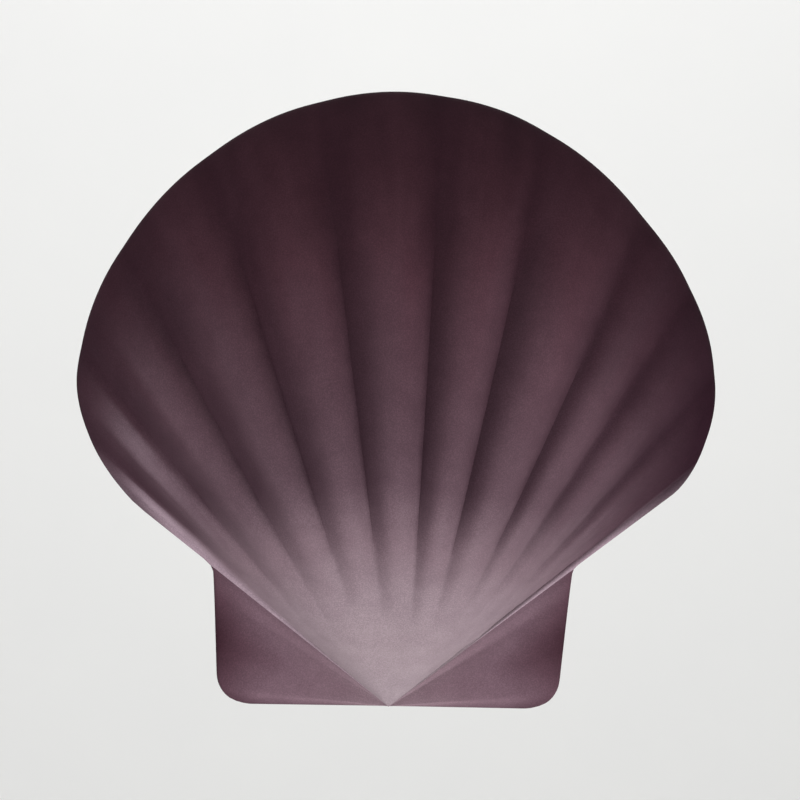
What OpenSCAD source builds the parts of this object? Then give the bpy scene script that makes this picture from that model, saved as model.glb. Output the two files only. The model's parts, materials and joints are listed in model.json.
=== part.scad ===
// Outdoor wall light with a scallop-shell shade.
// +X is to the viewer's right, +Y into the wall, +Z up.
// The origin is on the wall, midway between the wall plate's two fixing holes.

/* [Shell outline] */
// Place of the umbo, the point that the ribs fan out from, across the light
umbo_x = -3; // [-8:1:8]
// Height of the umbo and of the ears' bottom edge
umbo_z = -60; // [-66:1:-58]
// Height of the centre of the round rim
rim_z = 63.6; // [60:0.1:70]
// Radius of the round rim
rim_radius = 123; // [116:0.2:132]
// How far the rim swells at each side
side_swell = 5.5; // [0:0.5:8]
// How far the rim is drawn in at the upper right
rim_dip = 1.4; // [0:0.1:3]
// Direction in which the rim is drawn in, in degrees from +X
dip_at = 62; // [55:1:75]
// How wide that drawn-in stretch is, in degrees to each side
dip_width = 9; // [4:1:16]
// Direction of the fan's left edge, in degrees from +X
fan_left = 141.2; // [138:0.2:144]
// Direction of the fan's right edge, in degrees from +X
fan_right = 36.9; // [34:0.1:39]
// How much the fan's left lower corner is rounded off
corner_left = 31.5; // [20:0.5:40]
// How much the fan's right lower corner is rounded off
corner_right = 16; // [10:1:40]
// Angle that each rounded corner takes
corner_turn = 8.5; // [6:0.5:12]
// Reach of the left ear from the umbo
ear_left = 69.6; // [60:0.1:74]
// Reach of the right ear from the umbo
ear_right = 68.2; // [60:0.1:72]
// How much the left ear widens upwards
flare_left = 0.04; // [0:0.01:0.2]
// How much the right ear widens upwards
flare_right = 0.09; // [0:0.01:0.25]
// Direction of the left ear's bottom edge, in degrees up from -X
edge_left = 0.8; // [0:0.1:2]
// Direction of the right ear's bottom edge, in degrees up from +X
edge_right = -1.2; // [-2:0.1:0]
// Radius of the ears' lower corners
ear_corner = 12.5; // [6:0.5:14]

/* [Shell form] */
// Distance of the shell's foot from the wall
seat_gap = 24; // [23:0.5:28]
// How fast the rim leaves the wall on its way up
tilt = 0.13; // [0.08:0.01:0.2]
// Height of the dome over its rim
bulge = 60; // [56:1:66]
// Where the dome is highest, as a share of the way from umbo to rim
peak = 0.42; // [0.36:0.01:0.5]
// How quickly the dome rises from the umbo, where 1 is a straight cone
rise_power = 1.8; // [1.5:0.1:2.4]
// How flat the dome's top is across the fan
across_power = 2.4; // [2:0.1:3]
// How steep the dome's sides are, where less is steeper
across_round = 0.75; // [0.6:0.05:0.9]
// Share of the fan's half width at which the flat lip along its edges begins
lip = 0.97; // [0.95:0.01:1]
// Wall of the shell
shell_wall = 3.2; // [2.6:0.1:4]
// How far the hollow's point lies above the umbo
hollow_lift = 5; // [4:0.5:7]
// How much thicker the shell is at the top of its dome
dome_extra = 0.3; // [0:0.1:0.6]
// How far the inner rim is drawn in from the outer one
rim_inset = 1.2; // [0.6:0.1:2]
// How far the ears lie back from the fan's edge
ear_step = 2.5; // [1.5:0.1:3]
// How far the ears' outer edges turn back to the wall
ear_round = 1.6; // [0:0.1:2]

/* [Ribs] */
// Height of the ribs over their grooves
rib_height = 5.5; // [1:0.1:6]
// Depth of the scallops that the ribs leave in the rim
rim_scallop = 0.4; // [0:0.1:2]
// Place of each rib's crest between its two grooves, where 0.5 is the middle
rib_crest = 0.58; // [0.4:0.01:0.65]
// How full the ribs are, where 1 makes them roofs
rib_power = 1.8; // [1.2:0.1:2.6]
// Share of the ribs' height that is left at the rim
rib_end = 0.4; // [0.2:0.05:1]
// Radius at which the grooves' directions are measured
groove_radius = 160; // [150:1:170]
// Direction that the grooves spread away from near the umbo
spread_from = 103; // [96:1:108]
// How strongly the grooves spread near the umbo
spread = 22; // [0:1:26]
// Distance from the umbo within which the grooves spread no further
spread_end = 40; // [30:1:50]
// Distance from the umbo at which the ribs begin
rib_start = 28; // [20:1:40]
// Distance from the umbo at which the ribs are full
rib_full = 110; // [80:5:140]

/* [Wall plate] */
// Width of the plate without its fixing tabs
plate_w = 92; // [90:1:96]
// Height of the plate's top edge
plate_top = 18; // [17:0.5:20]
// Height of the plate's bottom edge and of its lugs' underside
plate_bottom = -50; // [-51:0.5:-48]
// Thickness of the plate
plate_t = 2.5; // [2:0.1:3]
// Distance between the two wall fixing holes
fixing_pitch = 108; // [106:1:112]
// Radius of each wall fixing hole
fixing_r = 2.6; // [2:0.1:3]
// Radius of the round end of each fixing tab
tab_r = 9; // [7:0.5:11]
// Thickness of the foam gasket on the wall
wall_gasket_t = 1.5; // [1:0.1:2]
// Distance of each lug from the middle
lug_x = 36; // [33:0.5:38]
// Width of each lug
lug_w = 14; // [12:1:16]
// Distance of the thumbscrews from the wall
lug_screw_y = 7.5; // [7:0.1:8]
// Length of each lug from the wall
lug_len = 12; // [11:0.1:12]

/* [Cable entry and earth] */
// Cable entry across the plate
entry_x = -22; // [-24:0.5:-20]
// Cable entry up the plate
entry_z = 2; // [-2:0.5:4]
// Radius of the grommet's bore
entry_bore_r = 3.5; // [2.5:0.1:4]
// Radius of the grommet's neck in the plate
entry_neck_r = 6; // [5:0.1:7]
// Radius of the grommet's flange
entry_flange_r = 8; // [7.5:0.1:9]
// Length of the grommet inside the box
entry_len = 5; // [3:0.5:7]
// Distance of the earth stud from the box's side
earth_in = 11; // [10.5:0.5:12]
// Earth stud up the plate
earth_z = -4; // [-6:0.5:-3]
// Radius of the earth stud
earth_r = 2; // [1.5:0.1:2.2]

/* [Housing] */
// Width of the box
box_w = 84; // [82:1:88]
// Height of the box's top
box_top = 16; // [15.5:0.5:17]
// Height at which the lower corners are cut off
box_shoulder = -10; // [-14:1:-8]
// Height of the box's bottom
box_bottom = -26; // [-28:0.5:-25]
// Width of the box's bottom
box_bottom_w = 50; // [48:1:60]
// Distance of the box's front from the wall
box_front = 44; // [43:0.5:46]
// Wall of the box
box_wall = 2.5; // [2:0.1:3]
// Thickness of the box's gasket
box_gasket_t = 1.2; // [0.8:0.1:1.5]
// Radius of the screw bosses in the corners
boss_r = 4; // [3.6:0.1:4.5]
// Radius of the box's screws
box_screw_r = 1.5; // [1.2:0.1:1.6]
// Radius of the box's screw heads
box_head_r = 2.8; // [2.4:0.1:3]

/* [Lamp head] */
// Distance of the lamp's axis from the wall
lamp_y = 28; // [27.5:0.5:30]
// Height of the lamp head
lamp_h = 29; // [27:0.5:33]
// Floor of the lamp head
lamp_floor = 4; // [3.5:0.1:5]
// Radius of the lamp head's body
lamp_r = 20; // [19.5:0.1:20.5]
// Radius of the fins, and the least radius of the top flange and the bezel
fin_r = 24; // [23:0.2:25]
// Thickness of each fin
fin_t = 1.6; // [1:0.1:2]
// Number of fins
fin_count = 4; // [2:1:5]
// Radius of the hollow
cup_r = 16.4; // [16:0.1:17]
// Radius of the lens
lens_r = 17.2; // [17:0.1:17.6]
// Thickness of the lens
lens_t = 3; // [2:0.1:4]
// Thickness of the lens gasket
lens_gasket_t = 1; // [0.6:0.1:1.5]
// Radius of the bezel's opening
mouth_r = 15; // [13:0.1:15.5]
// Thickness of the bezel
bezel_t = 2.5; // [2:0.1:3]
// Radius of the circle of bezel screws
bezel_pitch_r = 20.8; // [20.6:0.1:21.2]
// Metal left outside the bezel's screw holes
bezel_land = 1.9; // [1.2:0.1:2.5]
// Radius of the LED board
board_r = 15; // [13:0.1:16]
// Thickness of the LED board
board_t = 1.6; // [1:0.1:2]
// Side of the LED chip
chip_w = 13.5; // [11:0.5:14]
// Thickness of the LED chip
chip_t = 1.5; // [1:0.1:2]
// Radius of the chip's lit face
lit_r = 5.5; // [4:0.1:6]

/* [Driver and terminals] */
// Length of the driver
driver_l = 52; // [48:1:54]
// Height of the driver
driver_h = 20; // [18:1:21]
// Depth of the driver
driver_d = 16; // [14:0.5:18]
// Height of the driver's middle
driver_z = -2; // [-4:0.5:-1]
// Pitch of the terminals
pole_pitch = 8; // [7:0.5:8.5]
// Height of the terminal block
block_h = 14; // [12:0.5:15]
// Depth of the terminal block
block_d = 12; // [10:0.5:13]
// Height of the terminal block's underside
block_z = -4; // [-6:0.5:-3]
// Radius of the leads
lead_r = 0.8; // [0.6:0.1:1]

/* [Shade fixings] */
// Distance of each dowel pin from the middle
pin_x = 26; // [25:0.5:27]
// Height of the dowel pins
pin_z = 6; // [4:0.5:7]
// Radius of the dowel pins
pin_r = 2.5; // [2:0.1:3]
// How far the dowel pins stand out of their bosses
pin_len = 15; // [14.5:0.5:18]
// Height of the pin bosses on the box's front
pin_boss_h = 4; // [3:0.5:6]
// Distance of the bridge plate's back from the wall
bridge_y = 55.5; // [55:0.5:58]
// Thickness of the bridge plate
bridge_t = 2; // [1.5:0.1:2.5]
// Height of the bridge plate
bridge_h = 19; // [18:1:24]
// Distance of each shell stud from the middle
stud_x = 38; // [37:0.5:40]
// Distance between the upper and lower shell studs
stud_pitch = 13; // [12:0.5:15]
// Height of the foot bracket's web
web_h = 12; // [11:0.5:14]
// Distance of each foot screw from its end of the foot bracket
foot_in = 7; // [5.5:0.5:8]
// Width of the foot bracket
foot_w = 114; // [112:1:116]
// Distance of the foot bracket's back from the wall
foot_y = 12.5; // [12.4:0.1:13]
// Thickness of the foot bracket
foot_t = 2; // [1.5:0.1:2.5]
// Radius of the thumbscrews' shank
thumb_r = 2; // [1.5:0.1:2.2]
// Radius of the thumbscrews' knob
thumb_knob_r = 5.2; // [4.5:0.1:5.4]
// Height of the thumbscrews' knob
thumb_knob_h = 6; // [4:0.5:6.5]

/* [Fits] */
// Radial clearance of a running fit
running = 0.05; // [0.02:0.01:0.1]
// Radial clearance of a screw in its clear hole
clear = 0.2; // [0.1:0.05:0.3]
// Clearance between parts that seat on each other but come apart
seat = 0.3; // [0.2:0.05:0.4]
// How deep inserts and studs are cast into the shell
cast_in = 1.5; // [1:0.1:2]

/* [Hidden] */
$fn = 48;
through = 1;

// Grooves between the ribs, as directions at groove_radius, with the fan's two edges at the ends
grooves = [fan_left, 137.5, 130.5, 120, 108, 96, 84, 73.5, 61.5, 53.5, 45.5, 40, fan_right];
// Height of each rib as a share of rib_height
rib_share = [0.15, 0.6, 0.95, 1.1, 1.05, 1, 1, 1, 0.7, 0.65, 0.45, 0.12];
rib_count = len(rib_share);
rib_steps = 4;
fan_columns = rib_count * rib_steps;
ear_columns = 12;
ear_rows = 11;
rim_rows = 17;

fan_middle = (fan_left + fan_right) / 2;
fan_half = (fan_left - fan_right) / 2;
umbo_drop = norm([umbo_x, rim_z - umbo_z]);
rim_direction = atan2(rim_z - umbo_z, -umbo_x);

plate_back = wall_gasket_t;
plate_front = plate_back + plate_t;
box_back = plate_front + box_gasket_t;
box_inner = box_front - box_wall;
lamp_z = box_top;
lamp_top = lamp_z + lamp_h;
board_z = lamp_z + lamp_floor;
lens_z = lamp_top - lens_t;
reflector_t = 1;
flange_z = lens_z - lens_gasket_t - reflector_t;
chip_top = board_z + board_t + chip_t;
bezel_screw_r = 1.25;
bezel_head_r = 2.3;
flange_r = max(fin_r, bezel_pitch_r + bezel_screw_r + bezel_land);
board_screw_r = 1;
board_screw_at = 8;
lamp_screw_x = 14;
lamp_screw_r = 1.5;
wire_hole_r = 3;
wire_y = lamp_y + 12;
driver_screw_x = driver_l / 2 + 4;
driver_screw_r = 1.25;
driver_ear_t = 2;
block_w = 3 * pole_pitch + 2;
pole_x = [for (i = [0:2]) i * pole_pitch];
block_x = pole_x[1];
lead_y = plate_front + block_d / 2;
lead_z = box_top - box_wall - lead_r - 0.5;
flange_y = foot_y + foot_t;
foot_x = foot_w / 2 - foot_in;
earth_x = box_w / 2 - earth_in;
bracket_top = plate_bottom - seat;
thumb_top = bracket_top - foot_t - seat;
slot_r = thumb_r + seat;
foot_z = bracket_top + 6.5;
bridge_z = pin_z;
bush_r = pin_r + running + 2.4;
stud_across = 7;
stud_edge = 5;
stud_cover = 0.8;
stud_tip_r = 1.9;
nut_t = 3;
// Places of the box's screws on its right half
box_screws = [
    [box_w / 2 - boss_r - 1, box_top - boss_r - 1],
    [box_bottom_w / 2 - boss_r, box_bottom + boss_r + 1]
];

// Shell surface

function mix(a, b, s) = a + (b - a) * s;
function ease(a, b, x) = let (s = max(0, min(1, (x - a) / (b - a)))) s * s * (3 - 2 * s);

// Distance from the umbo to a circle about the rim's centre, in a given direction
function circle_reach(a, radius) =
    umbo_drop * cos(a - rim_direction)
    + sqrt(pow(radius, 2) - pow(umbo_drop * sin(a - rim_direction), 2));

// Distance from the umbo to the rim, with the swollen sides and the rounded lower corners
function rim_reach(a) =
    let (
        first = circle_reach(a, rim_radius),
        side = (umbo_x + first * cos(a)) / rim_radius,
        whole = circle_reach(a, rim_radius + side_swell * pow(min(1, abs(side)), 6)),
        dip = rim_dip * exp(-pow((a - dip_at) / dip_width, 2)),
        left = max(0, min(1, (a - fan_left + corner_turn) / corner_turn)),
        right = max(0, min(1, (fan_right + corner_turn - a) / corner_turn))
    )
    whole - dip - corner_left * (1 - sqrt(1 - left * left)) - corner_right * (1 - sqrt(1 - right * right));

// Distance from the umbo to an ear's edge, where a is the angle up from the bottom edge
function ear_reach(a, reach, flare) =
    let (
        slant = norm([1, flare]),
        centre = [reach + ear_corner * (flare - slant), ear_corner],
        touch = centre + ear_corner / slant * [1, -flare],
        turn = a - atan2(centre[1], centre[0])
    )
    a < atan2(touch[1], touch[0])
    ? norm(centre) * cos(turn) + sqrt(pow(ear_corner, 2) - pow(norm(centre) * sin(turn), 2))
    : reach / (cos(a) - flare * sin(a));

function notch_left() = ear_reach(180 - fan_left - edge_left, ear_left, flare_left);
function notch_right() = ear_reach(fan_right - edge_right, ear_right, flare_right);

// Side place in the fan, from -1 at the right edge to 1 at the left, bent as the grooves bend
function bent(t, r) =
    let (middle = (spread_from - fan_middle) / fan_half)
    t + spread * (1 / max(r, spread_end) - 1 / groove_radius) * (t - middle) * (1 - t * t);

// Direction, and place across its rib, of a fan column
function column_rib(c) = min(rib_count - 1, floor(c / rib_steps));
function column_place(c) = (c - column_rib(c) * rib_steps) / rib_steps;
function column_angle(c) = mix(grooves[column_rib(c)], grooves[column_rib(c) + 1], column_place(c));

function dome_along(q) =
    q < peak
    ? 1 - pow(1 - q / peak, rise_power)
    : pow(max(0, 1 - pow((q - peak) / (1 - peak), 2)), 0.8);
function dome_across(t) = pow(1 - pow(min(1, abs(t) / lip), across_power), across_round);
function base_y(z) = seat_gap + tilt * (z - umbo_z);
function wave(s) = 1 - pow(abs(s - rib_crest) / (s < rib_crest ? rib_crest : 1 - rib_crest), rib_power);

// Share of the way to the rim at which the ears end, for each fan column
function ear_share(t) =
    mix(notch_right() / rim_reach(fan_right), notch_left() / rim_reach(fan_left), (t + 1) / 2);
function row_share(k, t) =
    let (ears = ear_share(t))
    k <= ear_rows
    ? ears * pow(k / ear_rows, 1.5)
    : mix(ears, 1, (k - ear_rows) / (rim_rows - ear_rows));

// Point of the fan as [x, distance from the wall, z]; deep is 0 outside and 1 in the hollow
function fan_point(k, c, deep) =
    let (
        a0 = column_angle(c),
        t0 = (a0 - fan_middle) / fan_half,
        q = row_share(k, t0),
        t = bent(t0, q * rim_reach(a0)),
        a = fan_middle + fan_half * t,
        rise = wave(column_place(c)),
        r = q * (rim_reach(a) + rim_scallop * rise * q),
        x = umbo_x + r * cos(a),
        z = umbo_z + r * sin(a),
        to_centre = [-x, rim_z - z] / norm([-x, rim_z - z] + [0.001, 0]),
        full = ease(rib_start, rib_full, r) * mix(1, rib_end, ease(0.7, 1, q)),
        rib = rib_height * rib_share[column_rib(c)] * rise * full,
        zi = z + deep * (hollow_lift * (1 - q) + rim_inset * q * to_centre[1])
    )
    [
        x + deep * rim_inset * q * to_centre[0],
        base_y(zi) + (bulge - dome_extra * deep) * dome_along(q) * dome_across(t) + rib - deep * shell_wall,
        zi
    ];

// Point of an ear; side is -1 for the left ear and 1 for the right, e counts from the fan's edge
function ear_point(k, e, side, deep) =
    let (
        s = e / ear_columns,
        q = pow(k / ear_rows, 1.5),
        low = side < 0 ? edge_left : edge_right,
        open = (side < 0 ? 180 - fan_left : fan_right) - low,
        up = open * (1 - s),
        a = low + up,
        reach = side < 0 ? ear_reach(up, ear_left, flare_left) : ear_reach(up, ear_right, flare_right),
        x = umbo_x + side * q * reach * cos(a),
        z = umbo_z + q * reach * sin(a),
        back = ear_step * ease(0, 0.15, s) + ear_round * max(ease(0.8, 1, q), ease(0.85, 1, s)) * ease(0, 0.3, s),
        edge = fan_point(k, side < 0 ? 0 : fan_columns, 1) - fan_point(k, side < 0 ? 0 : fan_columns, 0)
            + [0, shell_wall, 0]
    )
    [x, base_y(z) - back - deep * shell_wall, z] + deep * (1 - s) * edge;

function shell_point(k, j, deep) =
    let (
        p = j < 0 ? ear_point(k, -j, -1, deep)
            : j > fan_columns ? ear_point(k, j - fan_columns, 1, deep)
            : fan_point(k, j, deep)
    )
    [p[0], -p[1], p[2]];

// Numbering of the shell's points: row 0 is the umbo outside, and a short line inside
fan_total = 1 + rim_rows * (fan_columns + 1);
ear_total = ear_rows * ear_columns;
skin_total = fan_total + 2 * ear_total;
function skin_id(k, j) =
    k == 0 ? 0
    : j < 0 ? fan_total + (k - 1) * ear_columns - j - 1
    : j > fan_columns ? fan_total + ear_total + (k - 1) * ear_columns + j - fan_columns - 1
    : 1 + (k - 1) * (fan_columns + 1) + j;
function hollow_id(k, j) =
    k == 0 && j < 0 ? 2 * skin_total - j - 1
    : k == 0 && j > fan_columns ? 2 * skin_total + j - fan_columns - 1
    : skin_total + skin_id(k, j);
function point_id(k, j, deep) = deep == 0 ? skin_id(k, j) : hollow_id(k, j);

function skin_points(deep) = [
    shell_point(0, 0, deep),
    for (k = [1:rim_rows]) for (j = [0:fan_columns]) shell_point(k, j, deep),
    for (k = [1:ear_rows]) for (e = [1:ear_columns]) shell_point(k, -e, deep),
    for (k = [1:ear_rows]) for (e = [1:ear_columns]) shell_point(k, fan_columns + e, deep)
];

// Walk round the shell's edge as [row, column] pairs, back to its start
edge_walk = [
    for (k = [0:ear_rows]) [k, -ear_columns],
    for (j = [-ear_columns + 1:0]) [ear_rows, j],
    for (k = [ear_rows + 1:rim_rows]) [k, 0],
    for (j = [1:fan_columns]) [rim_rows, j],
    for (k = [rim_rows - 1:-1:ear_rows]) [k, fan_columns],
    for (j = [fan_columns + 1:fan_columns + ear_columns]) [ear_rows, j],
    for (k = [ear_rows - 1:-1:0]) [k, fan_columns + ear_columns]
];

function two_faces(a, b, c, d) = [if (a != b) [a, b, c], if (a != c && c != d && d != a) [a, c, d]];

module shell_shade() {
    points = concat(
        skin_points(0),
        skin_points(1),
        [for (e = [1:ear_columns]) shell_point(0, -e, 1)]
    );
    faces = [
        for (deep = [0, 1])
            for (k = [0:rim_rows - 1])
                for (j = k < ear_rows
                    ? [-ear_columns:fan_columns + ear_columns - 1]
                    : [0:fan_columns - 1])
                    let (
                        a = point_id(k, j, deep),
                        b = point_id(k + 1, j, deep),
                        c = point_id(k + 1, j + 1, deep),
                        d = point_id(k, j + 1, deep)
                    )
                    each (deep == 1 ? two_faces(a, b, c, d) : two_faces(c, b, a, d)),
        for (i = [0:len(edge_walk) - 2])
            let (p = edge_walk[i], n = edge_walk[i + 1])
            each [
                [point_id(p[0], p[1], 0), point_id(n[0], n[1], 0), point_id(n[0], n[1], 1)],
                [point_id(p[0], p[1], 0), point_id(n[0], n[1], 1), point_id(p[0], p[1], 1)]
            ]
    ];
    color([0.32, 0.22, 0.27]) polyhedron(points, faces, convexity = 6);
}

// Distance from the wall of the shell's front without its ribs, at a place on the fan
function shell_front(x, z) =
    let (
        r = norm([x - umbo_x, z - umbo_z]),
        a = atan2(z - umbo_z, x - umbo_x),
        q = r / rim_reach(a),
        t = (a - fan_middle) / fan_half
    )
    base_y(z) + bulge * dome_along(q) * dome_across(t);

// How far a stud reaches, so that its shallowest corner still ends inside the shell's wall
function stud_reach(x, z) =
    min([for (a = [0:60:300]) shell_front(x + stud_across / 2 * cos(a), z + stud_across / 2 * sin(a))])
    - stud_cover;

// Helpers

// A drawing in X and Z made solid between two distances from the wall
module slab(near, far) {
    rotate([90, 0, 0]) translate([0, 0, near]) linear_extrude(far - near) children();
}

// A round bar along Y between two distances from the wall
module bar_y(x, z, r, near, far) {
    translate([x, -near, z]) rotate([90, 0, 0]) cylinder(r = r, h = far - near);
}

module bar_z(x, y, r, from, to) {
    translate([x, -y, from]) cylinder(r = r, h = to - from);
}

// A lead through a list of places, with round corners
module lead(places) {
    for (i = [0:len(places) - 2]) {
        p = places[i];
        d = places[i + 1] - p;
        translate(p)
            rotate([0, acos(d[2] / norm(d)), atan2(d[1], d[0])])
                cylinder(r = lead_r, h = norm(d), $fn = 16);
        if (i > 0) translate(p) sphere(r = lead_r, $fn = 16);
    }
}

module at_box_screws() {
    for (side = [-1, 1])
        for (place = box_screws)
            translate([side * place[0], 0, place[1]]) children();
}

module plate_outline(grow = 0) {
    square_low = plate_bottom;
    translate([-plate_w / 2, square_low]) square([plate_w, plate_top - square_low]);
    for (side = [-1, 1]) {
        translate([side * fixing_pitch / 2, 0]) circle(r = tab_r);
        translate([side * fixing_pitch / 4, 0]) square([fixing_pitch / 2, 2 * tab_r], center = true);
    }
}

module box_outline(inset = 0) {
    w = box_w / 2 - inset;
    b = box_bottom_w / 2 - inset * 0.6;
    polygon([
        [-w, box_top - inset], [w, box_top - inset], [w, box_shoulder + inset * 0.4],
        [b, box_bottom + inset], [-b, box_bottom + inset], [-w, box_shoulder + inset * 0.4]
    ]);
}

// Pieces on the wall

module wall_gasket() {
    color([0.1, 0.1, 0.11])
        difference() {
            slab(0, plate_back) plate_outline();
            for (side = [-1, 1]) bar_y(side * fixing_pitch / 2, 0, fixing_r + 0.4, -through, plate_front);
            bar_y(entry_x, entry_z, entry_neck_r + 1, -through, plate_front);
            bar_y(earth_x, earth_z, earth_r + 1.5, -through, plate_front);
            at_box_screws() bar_y(0, 0, box_screw_r + 0.5, -through, plate_front);
        }
}

module wall_plate() {
    color([0.62, 0.64, 0.66])
        difference() {
            union() {
                slab(plate_back, plate_front) plate_outline();
                for (side = [-1, 1])
                    translate([side * lug_x - lug_w / 2, -lug_len, plate_bottom])
                        cube([lug_w, lug_len - plate_back, plate_t]);
            }
            for (side = [-1, 1]) {
                bar_y(side * fixing_pitch / 2, 0, fixing_r, 0, plate_front + through);
                bar_z(side * lug_x, lug_screw_y, thumb_r + running, plate_bottom - through,
                    plate_bottom + plate_t + through);
            }
            bar_y(entry_x, entry_z, entry_neck_r + running, 0, plate_front + through);
            bar_y(earth_x, earth_z, earth_r + running, 0, plate_front + through);
            at_box_screws() bar_y(0, 0, box_screw_r + running, 0, plate_front + through);
        }
}

module cable_grommet() {
    color([0.12, 0.12, 0.13])
        difference() {
            union() {
                bar_y(entry_x, entry_z, entry_neck_r, plate_back, plate_front);
                bar_y(entry_x, entry_z, entry_flange_r, plate_front, plate_front + 2);
                bar_y(entry_x, entry_z, entry_neck_r, plate_front, plate_front + entry_len);
            }
            bar_y(entry_x, entry_z, entry_bore_r, 0, plate_front + entry_len + through);
        }
}

module earth_stud() {
    color([0.78, 0.66, 0.36]) {
        bar_y(earth_x, earth_z, earth_r, plate_back, plate_front + 8);
        bar_y(earth_x, earth_z, earth_r + 1.2, plate_back - 1, plate_back);
    }
}

module earth_washer() {
    color([0.8, 0.8, 0.78])
        difference() {
            bar_y(earth_x, earth_z, earth_r + 2.5, plate_front, plate_front + 1);
            bar_y(earth_x, earth_z, earth_r + running, plate_front - through, plate_front + 1 + through);
        }
}

module earth_nut() {
    color([0.78, 0.66, 0.36])
        difference() {
            translate([earth_x, -plate_front - 2, earth_z])
                rotate([90, 0, 0]) cylinder(r = earth_r + 2, h = nut_t, $fn = 6);
            bar_y(earth_x, earth_z, earth_r + running, plate_front, plate_front + 2 + nut_t + through);
        }
}

module terminal_block() {
    color([0.86, 0.85, 0.8])
        difference() {
            translate([block_x - block_w / 2, -plate_front - block_d, block_z])
                cube([block_w, block_d, block_h]);
            for (x = pole_x) {
                bar_z(x, lead_y, lead_r + 0.4, block_z - through, block_z + 3);
                for (z = [block_z + 4, block_z + block_h - 4])
                    bar_y(x, z, 1.8, plate_front + block_d - 3, plate_front + block_d + through);
            }
        }
}

module terminal_screws() {
    color([0.75, 0.75, 0.72])
        for (x = pole_x)
            for (z = [block_z + 4, block_z + block_h - 4])
                difference() {
                    bar_y(x, z, 1.8 - running, plate_front + block_d - 3, plate_front + block_d - 0.6);
                    translate([x - 1.2, -plate_front - block_d + 0.4, z - 0.25]) cube([2.4, 1, 0.5]);
                }
}

module earth_lead() {
    x = pole_x[2];
    top = earth_z + earth_r + 3;
    color([0.35, 0.6, 0.2])
        difference() {
            union() {
                lead([
                    [x, -lead_y, block_z + block_h], [x, -lead_y, lead_z], [earth_x, -lead_y, lead_z],
                    [earth_x, -lead_y, top], [earth_x, -plate_front - 1.5, top]
                ]);
                bar_y(earth_x, earth_z, earth_r + 2, plate_front + 1, plate_front + 2);
                translate([earth_x - lead_r, -plate_front - 2, earth_z]) cube([2 * lead_r, 1, top - earth_z]);
            }
            bar_y(earth_x, earth_z, earth_r + running, plate_front, plate_front + 2 + through);
        }
}

// The box and what it holds

module housing_gasket() {
    color([0.14, 0.14, 0.15])
        difference() {
            slab(plate_front, box_back) box_outline();
            difference() {
                slab(plate_front - through, box_back + through) box_outline(box_wall);
                at_box_screws() bar_y(0, 0, boss_r, plate_front - through, box_back + through);
            }
            at_box_screws() bar_y(0, 0, box_screw_r + clear, plate_front - through, box_back + through);
        }
}

module housing() {
    color([0.3, 0.3, 0.32])
        difference() {
            union() {
                difference() {
                    slab(box_back, box_front) box_outline();
                    slab(box_back - through, box_inner) box_outline(box_wall);
                }
                at_box_screws() bar_y(0, 0, boss_r, box_back, box_front);
                for (side = [-1, 1]) bar_y(side * pin_x, pin_z, pin_r + 3, box_inner, box_front + pin_boss_h);
            }
            at_box_screws() {
                bar_y(0, 0, box_screw_r + clear, box_back - through, box_front + through);
                bar_y(0, 0, box_head_r + clear, box_front - 3, box_front + through);
            }
            for (side = [-1, 1]) {
                bar_y(side * pin_x, pin_z, pin_r + running, box_inner + 1, box_front + pin_boss_h + through);
                bar_y(side * driver_screw_x, driver_z, driver_screw_r + running, box_inner - through,
                    box_front - 0.8);
                bar_z(side * lamp_screw_x, lamp_y, lamp_screw_r + clear, box_top - box_wall - through,
                    box_top + through);
            }
            bar_z(0, wire_y, wire_hole_r, box_top - box_wall - through, box_top + through);
        }
}

module housing_screws() {
    color([0.75, 0.75, 0.76])
        at_box_screws()
            difference() {
                union() {
                    bar_y(0, 0, box_screw_r, plate_back, box_front - 3);
                    bar_y(0, 0, box_head_r, box_front - 3, box_front - 1);
                }
                translate([0, -box_front + 2.2, 0])
                    rotate([90, 0, 0]) cylinder(r = 1.4, h = 2, $fn = 6);
            }
}

module led_driver() {
    low = driver_z - driver_h / 2;
    color([0.9, 0.9, 0.88])
        difference() {
            union() {
                translate([-driver_l / 2, -box_inner, low]) cube([driver_l, driver_d, driver_h]);
                translate([-driver_screw_x - 3.5, -box_inner, driver_z - 4])
                    cube([2 * driver_screw_x + 7, driver_ear_t, 8]);
            }
            for (side = [-1, 1])
                bar_y(side * driver_screw_x, driver_z, driver_screw_r + clear, box_inner - driver_ear_t - through,
                    box_inner + through);
        }
}

module driver_screws() {
    color([0.75, 0.75, 0.76])
        for (side = [-1, 1])
            union() {
                bar_y(side * driver_screw_x, driver_z, driver_screw_r, box_inner - driver_ear_t, box_front - 1);
                bar_y(side * driver_screw_x, driver_z, driver_screw_r + 1.2, box_inner - driver_ear_t - 1.6,
                    box_inner - driver_ear_t);
            }
}

module supply_leads() {
    down_y = box_inner - driver_d / 2;
    for (i = [0, 1])
        color(i == 0 ? [0.45, 0.25, 0.12] : [0.15, 0.3, 0.7])
            lead([
                [pole_x[i], -lead_y, block_z + block_h], [pole_x[i], -lead_y, lead_z],
                [pole_x[i], -down_y, lead_z], [pole_x[i], -down_y, driver_z + driver_h / 2]
            ]);
}

module led_leads() {
    bend_z = board_z + board_t + lead_r;
    for (side = [-1, 1])
        color(side < 0 ? [0.75, 0.1, 0.1] : [0.1, 0.1, 0.1])
            lead([
                [side * 1.1, -wire_y + 0.5, driver_z + driver_h / 2], [side * 1.1, -wire_y + 0.5, bend_z],
                [side * 1.1, -wire_y + 3.8, bend_z]
            ]);
}

module dowel_pins() {
    color([0.8, 0.8, 0.82])
        for (side = [-1, 1]) {
            far = box_front + pin_boss_h + pin_len;
            bar_y(side * pin_x, pin_z, pin_r, box_inner + 1, far - 1);
            translate([side * pin_x, -far + 1, pin_z])
                rotate([90, 0, 0]) cylinder(r1 = pin_r, r2 = pin_r - 1, h = 1);
        }
}

// The lamp on the box

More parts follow.
